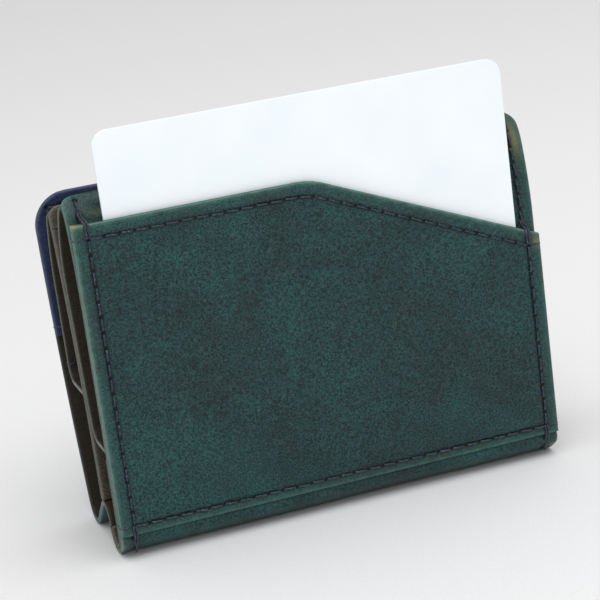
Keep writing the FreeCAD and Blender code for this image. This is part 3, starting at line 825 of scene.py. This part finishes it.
def tie_off(name, x, from_z, edge_z, to_z, back):
    """Doubled closing stitch over an edge of the panel: two strands side by side.

    Each goes straight from one hole to the other. Past the edge its depth goes from the panel's
    face back to the wall by a smooth step, and its ends are sunk by the eighth power of 2t - 1."""
    rings = 17
    t = np.linspace(0, 1, rings)[None, :]
    edge = (edge_z - from_z) / (to_z - from_z)
    step = eased(np.clip((t - edge + 0.02) / (0.9 - edge), 0, 1))
    sink = 0.5 * (2 * t - 1) ** 8
    beside = np.array([-TIE_ASIDE, TIE_ASIDE])[:, None]
    from_y = FACE_Y - TIE_PROUD
    to_y = FACE_Y + back
    centre = np.stack([x + beside + 0 * t, from_y + (to_y - from_y) * step + sink + 0 * beside,
                       from_z + (to_z - from_z) * t + 0 * beside], -1)
    lift = np.zeros_like(centre) - [0.0, 1.0, 0.0]
    return twisted_thread(name, centre, lift, radius=TIE_RADIUS)


for side_name, sign in (("left", -1), ("right", 1)):
    low_tie = tie_off(side_name + "_base_tie", sign * SEAM_X, base_height + 0.2, POCKET_LOW[2], 3.0,
                      back=1.0)
    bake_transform(low_tie)
left_edge = POCKET_HIGH[2]
right_edge = float(pocket_top(SEAM_X))
high_tie = tie_off("left_top_tie", -SEAM_X, left_head, left_edge, left_edge + 1.4, back=4.9)
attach(high_tie, "back")
high_tie = tie_off("right_top_tie", SEAM_X, right_head, right_edge, right_edge + 1.8, back=2.1)
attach(high_tie, "back")

# ============================================================
# FOLD LINER
# A thin strip of brown leather, flesh side up, glued inside the rear fold and up the back wall.
liner_start = down_wall(corners_of("back_liner")[1][2])
liner_length = wall_run - liner_start + math.pi * REAR_FOLD + CREST_RISE


def liner_track(distance, depth):
    """The strip's own track, on its flesh side."""
    return rear_track(liner_start + distance, LEATHER + LINING - depth)


x, s = strip_grid(0.0, liner_length, 0.8)
gap = cut_outline(x, s, liner_length, 0.6)
fold_liner = leather_sheet("fold_liner", x, s, gap, LINING, liner_track)
RAW = leather("raw_leather", dark=shade(40, 37, 33), mid=shade(58, 52, 45), patch=shade(78, 70, 60),
              flesh=shade(60, 54, 47), edge=shade(96, 94, 80), shine=shade(100, 94, 80), roughness=0.62)
fold_liner.data.materials.append(RAW)
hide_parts("spine_liner", "back_liner")
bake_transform(fold_liner)

# ============================================================
# INNER SLEEVE AND DIVIDER SLEEVE
# Each is a loop of thin green leather: it hangs from the top edge of its wall, bellies out, and
# turns back to the wall round a soft lower edge, so that cards slide in from the side.
SLEEVE = 1.0  # thickness of the loops
SLEEVE_TURN = 4.0  # radius of their lower edge
SET_BACK = 0.4  # a loop's upper edge is this far below its wall's
THIN_GREEN = leather("thin_green_leather", dark=shade(26, 46, 44), mid=shade(34, 62, 58),
                     patch=shade(44, 80, 74), flesh=shade(62, 54, 46), edge=shade(84, 92, 80),
                     shine=shade(92, 124, 112))


def sleeve_track(top_y, top_z, fall, sag, bulge, low, wall_at_low):
    """Face of a loop: out from a top edge, straight down, and back to its wall."""
    turn = math.radians(fall)
    belly = bulge / (1 - math.cos(turn))
    upper = track(top_y, top_z, -90.0 + fall, [bend(belly, -fall - sag)])
    belly_y, belly_z = upper(upper.length, 0.0)
    down = (belly_z - low - SLEEVE_TURN) / math.cos(math.radians(sag))
    lower = track(belly_y, belly_z, -90.0 - sag, [run(down), bend(SLEEVE_TURN, -90.0 + sag)])
    foot_y = lower(lower.length, 0.0)[0]
    return track(top_y, top_z, -90.0 + fall,
                 [bend(belly, -fall - sag), run(down), bend(SLEEVE_TURN, -90.0 + sag),
                  run(foot_y - wall_at_low)])


inner_foot = corners_of("inner_sleeve")[0][2]
inner_track = sleeve_track(
    wall_tip_y + LEATHER * math.cos(tip_lean) + SLEEVE,
    WALL_HIGH[2] - LEATHER * math.sin(tip_lean) - SET_BACK,
    fall=48.0, sag=7.0, bulge=7.2, low=inner_foot - 0.14, wall_at_low=WALL_LOW[1] + LEATHER,
)
near_end = corner_drop(columns, wall_corner(columns))
x, s = strip_grid(near_end, inner_track.length, 0.8)
gap = cut_outline(x, s, inner_track.length, wall_corner(x), corner_end="near")
slow_wave = slow_waves(x, s, gap, 5, (0.16, (10.0, 2.0), (9.0, 0.0)))
inner_loop = leather_sheet("inner_loop", x, s, gap, SLEEVE, inner_track, inward=-1, relief=slow_wave)
inner_loop.data.materials.append(THIN_GREEN)
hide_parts("inner_sleeve")
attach(inner_loop, "back")

# ============================================================
# DIVIDER
# Two leaves back to back, standing on the crest of the W. The rear leaf shows its brown flesh
# side, the front leaf is green, and a seam below the top edge holds them and the sleeve together.
LEAF = 1.1  # thickness of each leaf
DIVIDER_BOW = 241.0  # the leaves bow forward as an arc of this radius and angle
DIVIDER_ARC = 14.6
DIVIDER_SEAM = 4.5  # the seam, down from the top edge
FOOT = 0.45  # the leaves reach this much further down than in CAD, onto the crest
REAR_LEAF_LOW = corners_of("middle_wall")[0]
divider_track = track(REAR_LEAF_LOW[1], REAR_LEAF_LOW[2] - FOOT, 90.0,
                      [run(FOOT), bend(DIVIDER_BOW, -DIVIDER_ARC)])
x, s = strip_grid(0.0, divider_track.length - near_end, 1.0)
gap = cut_outline(x, s, divider_track.length, wall_corner(x))
divider_line_at = divider_track.length - DIVIDER_SEAM
divider_line = level_seam(divider_line_at)
relief, sewn = seam_marks(x, s, [divider_line])


def front_face_track(distance, depth):
    """The divider's front face, with the depth going back from it."""
    return divider_track(distance, -2 * LEAF + depth)


rear_leaf = leather_sheet("divider_rear_leaf", x, s, gap, LEAF, divider_track, inward=-1, relief=relief,
                          sewn=sewn)
rear_leaf.data.materials.append(RAW)
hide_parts("middle_wall")
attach(rear_leaf, "divider")
front_leaf = leather_sheet("divider_front_leaf", x, s, gap, LEAF, front_face_track, relief=relief,
                           sewn=sewn)
front_leaf.data.materials.append(GREEN)
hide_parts("middle_facing")
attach(front_leaf, "divider")
wraps = edge_wraps(divider_track, -1, [(-1, divider_line_at), (1, divider_line_at)], 2 * LEAF)
thread = twisted_thread("divider_top_stitches", *join(stitch_rows(divider_line, divider_track, -1), wraps))
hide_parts("divider_top_thread")
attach(thread, "divider")

LOOP_SEAM_IN = 8.0  # the loop's seam, in from the loop's end, leaving out the turn
middle_foot = corners_of("middle_sleeve")[0][2]
tip_y, tip_z = divider_track(divider_track.length, -2 * LEAF)
rise = middle_foot + SLEEVE / 2 - REAR_LEAF_LOW[2]
bow = DIVIDER_BOW - math.sqrt(DIVIDER_BOW ** 2 - rise ** 2)
middle_track = sleeve_track(
    tip_y + SLEEVE, tip_z - SET_BACK, fall=30.0, sag=0.0, bulge=4.4, low=middle_foot,
    wall_at_low=REAR_LEAF_LOW[1] + bow + 2 * LEAF + 0.1,
)
x, s = strip_grid(near_end, middle_track.length, 0.8)
gap = cut_outline(x, s, middle_track.length, wall_corner(x), corner_end="near")
sleeve_line_at = middle_track.length - (LOOP_SEAM_IN + math.pi / 2 * SLEEVE_TURN)
sleeve_line = level_seam(sleeve_line_at)
relief, sewn = seam_marks(x, s, [sleeve_line])
slow_wave = slow_waves(x, s, gap, 5, (0.14, (11.0, 0.8), (8.0, 0.0)))
divider_loop = leather_sheet("divider_loop", x, s, gap, SLEEVE, middle_track, inward=-1,
                             relief=relief + slow_wave, sewn=sewn)
divider_loop.data.materials.append(THIN_GREEN)
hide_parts("middle_sleeve")
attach(divider_loop, "divider")
wraps = edge_wraps(middle_track, -1, [(-1, sleeve_line_at), (1, sleeve_line_at)], SLEEVE)
thread = twisted_thread("divider_loop_stitches", *join(stitch_rows(sleeve_line, middle_track, -1), wraps))
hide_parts("middle_sleeve_thread")
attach(thread, "divider")

# ============================================================
# BLANK CARD
# A standard plastic card with no print, half drawn out of the outer pocket. Its edges are cut
# square with a slight burr worn off.
CARD_LOW, CARD_HIGH = corners_of("card")
CARD_CORNER = 3.18  # radius of the card's corners
BURR = 0.07  # how far the burr is worn off the edges
card_width, card_thick, card_height = CARD_HIGH - CARD_LOW
card_middle = (CARD_LOW + CARD_HIGH) / 2


def card_face(rings, segments):
    """Rounded rectangle as nested rings: each ring is the outline shrunk by an inset.

    The outline is four quarter circles of the corner's radius round the corners' centres; the
    straight sides are the gaps between them."""
    angle = np.concatenate([np.linspace(q, q + 1, segments) for q in range(4)]) * math.pi / 2
    quarter = np.repeat(np.arange(4), segments)
    sign_x = np.where((quarter == 0) | (quarter == 3), 1, -1)
    sign_z = np.where(quarter < 2, 1, -1)
    inset = rings[:, None]
    radius = np.maximum(CARD_CORNER - inset, 0.02)
    extra = np.minimum(CARD_CORNER - inset - radius, 0)
    centre_x = sign_x * (card_width / 2 - CARD_CORNER + extra)
    centre_z = sign_z * (card_height / 2 - CARD_CORNER + extra)
    return centre_x + radius * np.cos(angle), centre_z + radius * np.sin(angle)


half_insets = np.array([3.1, 1.0, BURR, BURR * 0.3, 0.0])
half_depths = np.array([0, 0, 0, BURR * 0.3, BURR])
insets = np.concatenate([half_insets, half_insets[::-1]])
depths = np.concatenate([half_depths, card_thick - half_depths[::-1]])
ring_x, ring_z = card_face(insets, 12)
ring_y = np.broadcast_to((CARD_LOW[1] + depths)[:, None], ring_x.shape)
rings = np.stack([card_middle[0] + ring_x, ring_y, card_middle[2] + ring_z], -1)[None]
blank_card = add_mesh("blank_card", *closed_tubes(rings, rings[:, [0, -1]].mean(axis=2)))
n = Nodes("card_plastic")
place = n.add("TexCoord").outputs["Object"]
tint = n.ramp(n.noise(place, 60.0, 2.0), [(0.3, shade(236, 243, 247)), (0.7, shade(241, 247, 250))])
gloss = n.map(n.noise(place, 900.0, 3.0), 0.3, 0.7, 0.36, 0.46)
blank_card.data.materials.append(n.surface(tint, gloss, n.noise(place, 2500.0, 2.0), 0.004 * MM, 0.3))
blank_card.data.shade_flat()
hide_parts("card")
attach(blank_card, "card")

# ============================================================
# TABLE, LIGHT AND CAMERA
# A plain pale table under a soft studio tent.
table = bpy.data.meshes.new("table")
TABLE_REACH = 3.0  # half the table's side, in metres
table_corners = [(x * TABLE_REACH, y * TABLE_REACH, 0) for x, y in ((-1, -1), (1, -1), (1, 1), (-1, 1))]
table.from_pydata(table_corners, [], [(0, 1, 2, 3)])
floor = bpy.data.objects.new("table", table)
bpy.context.scene.collection.objects.link(floor)
n = Nodes("pale_table")
place = n.add("TexCoord").outputs["Object"]
tint = n.ramp(n.noise(place, 2200.0, 2.0), [(0.3, shade(226, 226, 227)), (0.7, shade(234, 234, 235))])
table.materials.append(n.surface(tint, 0.9))


def soft_light(name, place, aim, width, height, power):
    """White rectangular lamp at a place, facing a point, both in metres; the power is in watts."""
    lamp = bpy.data.lights.new(name, "AREA")
    lamp.shape = "RECTANGLE"
    lamp.size, lamp.size_y, lamp.energy = width, height, power
    holder = bpy.data.objects.new(name, lamp)
    bpy.context.scene.collection.objects.link(holder)
    holder.location = place
    away = np.array(place) - np.array(aim)
    yaw = math.atan2(away[0], -away[1])
    pitch = math.atan2(math.hypot(away[0], away[1]), away[2])
    holder.rotation_euler = (pitch, 0.0, yaw)


middle = (0.0, 0.0, 0.04)
soft_light("tent_top", place=(0.0, -0.34, 0.9), aim=middle, width=0.75, height=0.75, power=4.2)
soft_light("front_strip", place=(-0.45, -1.25, 0.34), aim=middle, width=1.3, height=0.22, power=1.0)
world = bpy.data.worlds.new("tent")
bpy.context.scene.world = world
world.use_nodes = True
background = world.node_tree.nodes["Background"].inputs
background["Color"].default_value = (1.0, 1.0, 1.0, 1.0)
background["Strength"].default_value = 0.80
bpy.context.scene.view_settings.view_transform = "Standard"

azimuth, elevation, roll = math.radians(-17.0), math.radians(15.35), math.radians(-7.61)
target = np.array([-5.12, FACE_Y, 46.2]) * MM  # the point that the camera faces
distance = 388.85 * MM
forward = np.array([-math.sin(azimuth) * math.cos(elevation), math.cos(azimuth) * math.cos(elevation),
                    -math.sin(elevation)])
right = np.array([math.cos(azimuth), math.sin(azimuth), 0.0])
upward = np.cross(right, forward)
turned_right = math.cos(roll) * right + math.sin(roll) * upward
turned_up = -math.sin(roll) * right + math.cos(roll) * upward
camera = bpy.data.cameras.new("camera")
camera.sensor_width = 36.0
camera.lens = 116.42
camera.clip_start, camera.clip_end = 0.01, 20.0
stand = bpy.data.objects.new("camera", camera)
bpy.context.scene.collection.objects.link(stand)
axes = np.stack([turned_right, turned_up, -forward], 1)
stand.matrix_world = Matrix.Translation(target - distance * forward) @ Matrix(axes.tolist()).to_4x4()
bpy.context.scene.camera = stand
